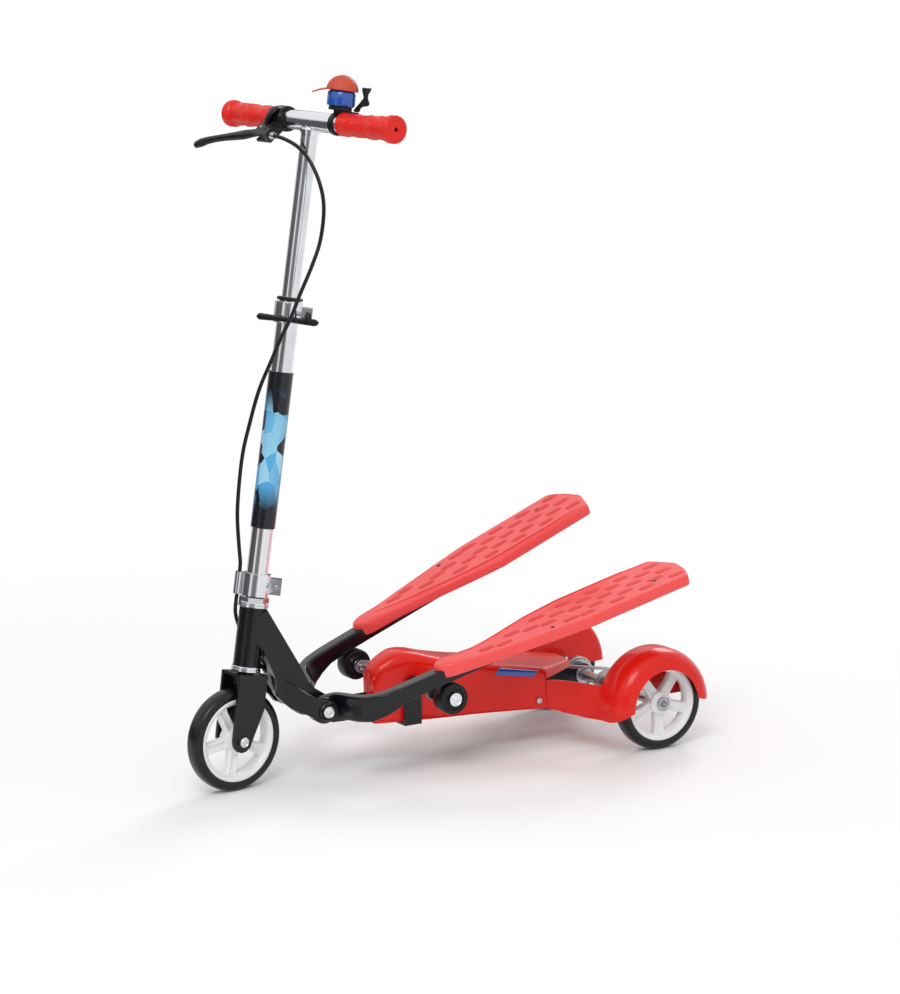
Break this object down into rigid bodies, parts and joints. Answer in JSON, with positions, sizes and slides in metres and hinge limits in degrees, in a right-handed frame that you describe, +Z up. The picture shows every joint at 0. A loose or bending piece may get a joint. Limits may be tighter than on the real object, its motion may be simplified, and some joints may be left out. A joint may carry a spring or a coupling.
{
  "type": "three wheel pedal scooter",
  "caption": "Child's stepping scooter with pedal boards on pivoting arms, a chain drive under a red cover, fendered rear wheels, a folding clamp column, hand brake and bell",
  "frame": {"origin": "middle of the bounding box bottom, on the ground", "axes": "X rearwards, Y to the rider's right, Z up; the handlebar is turned 9.3 degrees to the left at rest, as pictured"},
  "size_m": [0.7126, 0.3554, 0.9224],
  "materials": {
    "black_paint": "satin powder coat",
    "chrome": "polished",
    "red_gloss": "glossy injection moulded",
    "steel": "bright zinc or brushed",
    "sleeve_print": "printed film over a dark sleeve",
    "black_plastic": "satin moulded",
    "tyre_black": "smooth rubber tread",
    "white_plastic": "smooth moulded",
    "grip_red": "soft rubber",
    "blue_gloss": "glossy moulded",
    "cap_orange": "satin moulded",
    "deck_red": "satin, textured tread",
    "roller_black": "black rubber"
  },
  "bodies": {
    "frame": {"main_frame": "black_paint", "pivot_bolt": "chrome", "body_cover": "red_gloss", "cover_screw_left": "steel", "cover_screw_right": "steel", "rear_fender_left": "red_gloss", "rear_fender_right": "red_gloss", "crank_bearing_left": "chrome", "crank_bearing_right": "chrome", "axle_bearing_left": "steel", "axle_bearing_right": "steel", "drive_chain": "steel", "brake_band": "steel", "headset_lower_cup": "chrome", "headset_upper_cup": "chrome", "brake_cable_turning": "black_plastic", "brake_cable_frame": "black_plastic"},
    "steering": {"fork": "black_paint", "headset_nut": "chrome", "lower_clamp": "chrome", "lower_clamp_bolt": "steel", "column_tube": "chrome", "column_sleeve": "sleeve_print", "quick_clamp": "chrome", "quick_clamp_bolt": "steel", "column_cap": "black_plastic", "front_axle_bolt": "chrome", "brake_cable_upper": "black_plastic"},
    "clamp_lever": {"quick_clamp_lever": "black_plastic"},
    "front_wheel": {"front_tyre": "tyre_black", "front_rim": "white_plastic"},
    "stem": {"handlebar": "chrome", "grip_left": "grip_red", "grip_right": "grip_red", "brake_bracket": "black_plastic", "brake_lever_pin": "steel", "cable_adjuster": "chrome", "bell_clamp": "black_plastic", "bell_drum": "blue_gloss", "bell_cap": "cap_orange"},
    "brake_lever": {"brake_lever": "black_plastic"},
    "bell_lever": {"bell_lever": "black_plastic"},
    "pedal_left": {"pedal_arm_left": "black_paint", "pedal_board_left": "deck_red"},
    "pedal_right": {"pedal_arm_right": "black_paint", "pedal_board_right": "deck_red"},
    "crank": {"crank_axle": "steel", "roller_pin_left": "chrome", "roller_pin_right": "chrome"},
    "roller_left": {"pedal_roller_left": "roller_black"},
    "roller_right": {"pedal_roller_right": "roller_black"},
    "rear_axle": {"rear_axle": "steel", "rear_sprocket": "steel", "brake_drum": "steel", "rear_tyre_right": "tyre_black", "rear_rim_right": "white_plastic", "rear_nut_left": "chrome", "rear_nut_right": "chrome"},
    "left_rear_wheel": {"rear_tyre_left": "tyre_black", "rear_rim_left": "white_plastic"}
  },
  "joints": [
    {"name": "steering", "type": "hinge", "parent": "frame", "child": "steering", "pos_m": [-0.28214, 0, 0.06746], "axis": [0.1644, 0, 0.9864], "range_deg": [-54, 36], "deforming": ["brake_cable_turning"]},
    {"name": "handlebar_height", "type": "slide", "parent": "steering", "child": "stem", "axis": [0.1644, 0, 0.9864], "range_m": [-0.18, 0], "deforming": ["brake_cable_upper"]},
    {"name": "clamp_lever", "type": "hinge", "parent": "steering", "child": "clamp_lever", "pos_m": [-0.17947, -0.03256, 0.60793], "axis": [0.1644, 0, 0.9864], "range_deg": [0, 110]},
    {"name": "brake_lever", "type": "hinge", "parent": "stem", "child": "brake_lever", "pos_m": [-0.18367, 0.06785, 0.84809], "axis": [0.5721, 0.1143, -0.8122], "range_deg": [0, 17], "stiffness_Nm_per_rad": 1, "springref_deg": -8.59},
    {"name": "bell_lever", "type": "hinge", "parent": "stem", "child": "bell_lever", "pos_m": [-0.11967, -0.06622, 0.87676], "axis": [0.1644, 0, 0.9864], "range_deg": [0, 25], "stiffness_Nm_per_rad": 0.1, "springref_deg": -5.73},
    {"name": "front_wheel", "type": "hinge", "parent": "steering", "child": "front_wheel", "pos_m": [-0.28818, -0.001, 0.06846], "axis": [-0.1594, 0.9869, 0.0266], "continuous": true},
    {"name": "pedal_left", "type": "hinge", "parent": "frame", "child": "pedal_left", "pos_m": [-0.17176, 0, 0.0969], "axis": [0, -1, 0], "range_deg": [-2.6, 9.7]},
    {"name": "pedal_right", "type": "hinge", "parent": "frame", "child": "pedal_right", "pos_m": [-0.17176, 0, 0.0969], "axis": [0, -1, 0], "range_deg": [-11.3, 3.1]},
    {"name": "crank", "type": "hinge", "parent": "frame", "child": "crank", "pos_m": [-0.03726, 0, 0.112], "axis": [0, -1, 0], "range_deg": [-24.1, 89.8]},
    {"name": "roller_left", "type": "hinge", "parent": "crank", "child": "roller_left", "pos_m": [-0.02089, 0, 0.1074], "axis": [0, 1, 0], "continuous": true},
    {"name": "roller_right", "type": "hinge", "parent": "crank", "child": "roller_right", "pos_m": [-0.05362, 0, 0.1166], "axis": [0, 1, 0], "continuous": true},
    {"name": "rear_axle", "type": "hinge", "parent": "frame", "child": "rear_axle", "pos_m": [0.28544, 0, 0.0643], "axis": [0, 1, 0], "continuous": true},
    {"name": "left_rear_wheel", "type": "hinge", "parent": "rear_axle", "child": "left_rear_wheel", "pos_m": [0.28544, 0, 0.0643], "axis": [0, 1, 0], "continuous": true}
  ],
  "couplings": [
    {"joint": "pedal_right", "follows": "pedal_left", "ratio": -1.16},
    {"joint": "crank", "follows": "pedal_left", "ratio": 9.25}
  ]
}
